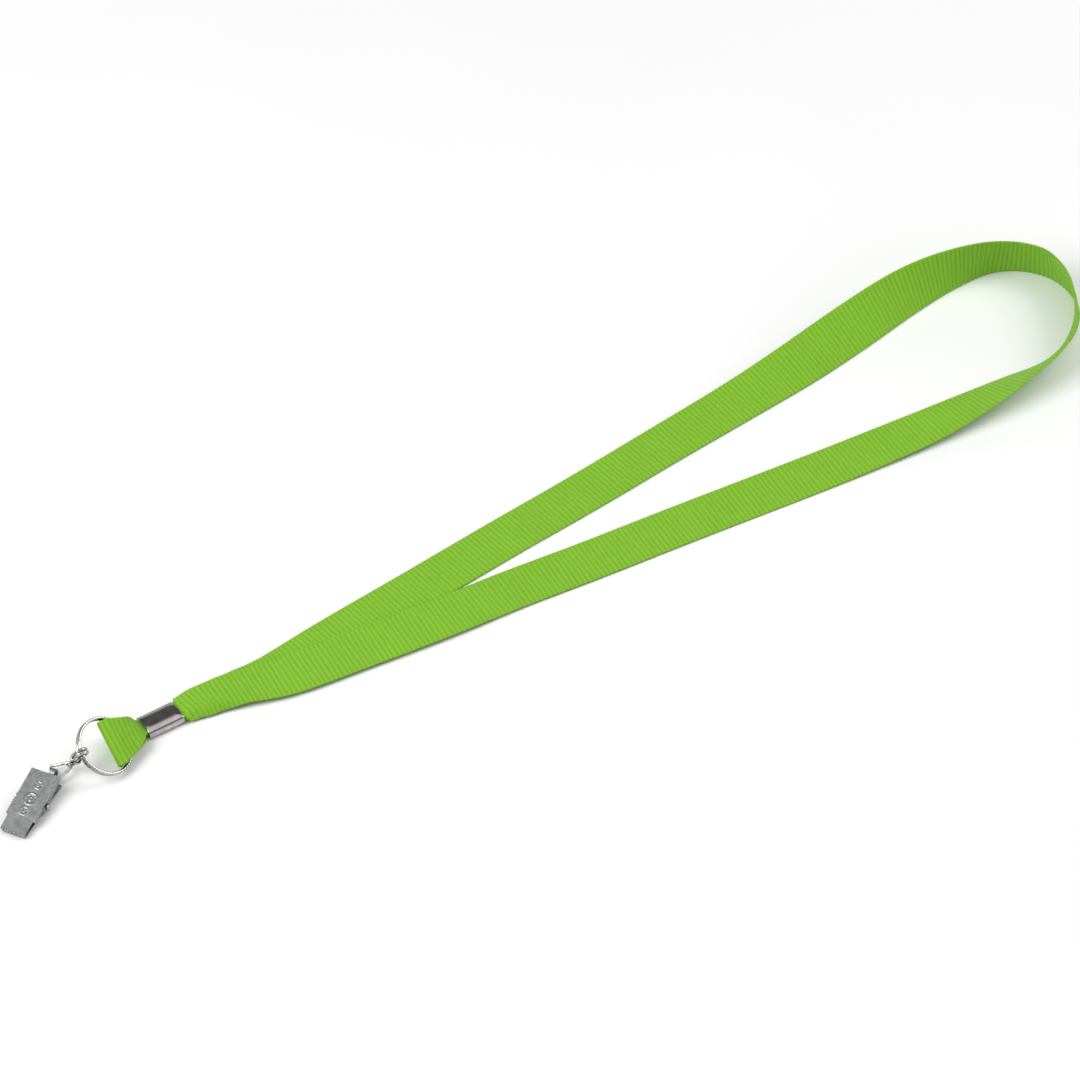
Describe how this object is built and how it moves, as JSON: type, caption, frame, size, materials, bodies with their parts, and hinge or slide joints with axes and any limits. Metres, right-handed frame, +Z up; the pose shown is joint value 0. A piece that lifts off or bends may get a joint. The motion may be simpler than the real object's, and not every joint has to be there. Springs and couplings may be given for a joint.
{
  "type": "lanyard badge holder",
  "caption": "Flat ribbed neck strap gathered in a metal crimp, with a split ring, a swivel and a sprung pressed-metal clip for a badge.",
  "frame": {"origin": "centre of the footprint, on the surface that the lanyard lies on", "axes": "+X along the lanyard from the clip to the far bend of the neck loop, +Y to the strap's far side, +Z up"},
  "size_m": [0.5004, 0.0776, 0.0202],
  "materials": {
    "webbing": "ribbed polyester webbing, matt",
    "dark_chrome": "dark bright plate",
    "nickel": "nickel plate",
    "pressed_steel": "satin nickel on pressed steel",
    "spring_steel": "drawn wire"
  },
  "bodies": {
    "lanyard": {"webbing_strap": "webbing", "crimp": "dark_chrome"},
    "ring": {"split_ring": "nickel"},
    "eye": {"swivel_eye": "nickel", "swivel_collar": "nickel"},
    "post": {"swivel_post": "nickel"},
    "bail_body": {"bail": "nickel"},
    "clip": {"rear_lever": "pressed_steel", "pivot_pin": "dark_chrome", "torsion_spring": "spring_steel"},
    "jaw": {"front_jaw": "pressed_steel"}
  },
  "joints": [
    {"name": "ring_turn", "type": "hinge", "parent": "lanyard", "child": "ring", "pos_m": [-0.20122, -0.00076, 0.0092], "axis": [0.2919, -0.5108, 0.8087], "range_deg": [-50, 50]},
    {"name": "eye_rock", "type": "hinge", "parent": "ring", "child": "eye", "pos_m": [-0.21159, -0.00149, 0.01248], "axis": [0.0424, 0.9402, 0.3379], "range_deg": [-25, 90]},
    {"name": "swivel_spin", "type": "hinge", "parent": "eye", "child": "post", "pos_m": [-0.21159, -0.00149, 0.01248], "axis": [-0.2538, 0.4203, -0.8712], "continuous": true},
    {"name": "bail_hinge", "type": "hinge", "parent": "post", "child": "bail_body", "pos_m": [-0.21402, 0.00253, 0.00414], "axis": [0.1478, 0.989, 0], "range_deg": [-100, 25]},
    {"name": "clip_hinge", "type": "hinge", "parent": "bail_body", "child": "clip", "pos_m": [-0.22112, 0.00359, 0.00235], "axis": [0.1478, 0.989, 0], "range_deg": [-60, 60]},
    {"name": "jaw_open", "type": "hinge", "parent": "clip", "child": "jaw", "pos_m": [-0.23434, -0.00451, 0.0029], "axis": [-0.5225, 0.8526, 0], "range_deg": [0, 20], "stiffness_Nm_per_rad": 0.02, "springref_deg": -17.19, "deforming": ["torsion_spring"]}
  ]
}
